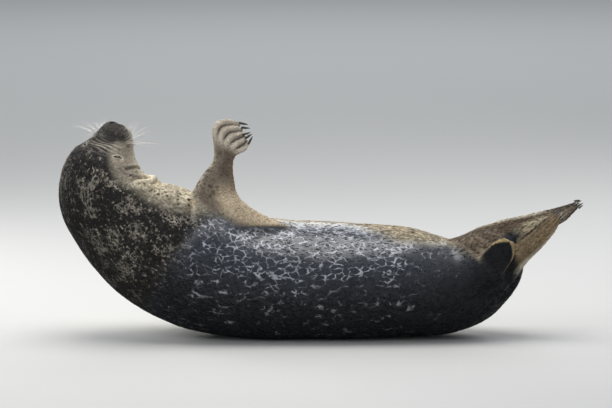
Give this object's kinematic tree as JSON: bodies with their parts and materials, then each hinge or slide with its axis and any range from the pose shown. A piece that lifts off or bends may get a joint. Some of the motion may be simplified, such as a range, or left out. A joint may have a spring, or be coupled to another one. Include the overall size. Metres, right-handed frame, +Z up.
{
  "type": "harbor seal",
  "caption": "Still life-size model of a harbor seal lying on its left side, head and hind flippers raised and one foreflipper held up",
  "frame": {"origin": "centre of the model's box, on the floor that it lies on", "axes": "+Z up, +X from the head toward the hind flippers, -Y the side that the back faces"},
  "size_m": [1.4592, 0.568, 0.6086],
  "materials": {
    "fur_dry": "dry short fur, near-black mottled with tan rings",
    "fur_wet": "wet blue-grey fur with a pale net of lines",
    "flipper_fur": "short beige and brown fur",
    "claw_horn": "dark horn",
    "eye": "dark wet eye"
  },
  "bodies": {
    "root": {"head": "fur_dry", "neck": "fur_dry", "chest": "fur_dry", "abdomen": "fur_wet", "pelvis": "fur_wet", "tail": "fur_wet", "foreflipper_right": "flipper_fur", "foreflipper_left": "flipper_fur", "hind_flipper_right": "flipper_fur", "hind_flipper_left": "flipper_fur", "claw_foreflipper_right_1": "claw_horn", "claw_foreflipper_right_2": "claw_horn", "claw_foreflipper_right_3": "claw_horn", "claw_foreflipper_right_4": "claw_horn", "claw_foreflipper_right_5": "claw_horn", "claw_foreflipper_left_1": "claw_horn", "claw_foreflipper_left_2": "claw_horn", "claw_foreflipper_left_3": "claw_horn", "claw_foreflipper_left_4": "claw_horn", "claw_foreflipper_left_5": "claw_horn", "claw_hind_flipper_right_1": "claw_horn", "claw_hind_flipper_right_2": "claw_horn", "claw_hind_flipper_right_3": "claw_horn", "claw_hind_flipper_right_4": "claw_horn", "claw_hind_flipper_right_5": "claw_horn", "claw_hind_flipper_left_1": "claw_horn", "claw_hind_flipper_left_2": "claw_horn", "claw_hind_flipper_left_3": "claw_horn", "claw_hind_flipper_left_4": "claw_horn", "claw_hind_flipper_left_5": "claw_horn", "eye_right": "eye", "eye_left": "eye"}
  },
  "joints": []
}
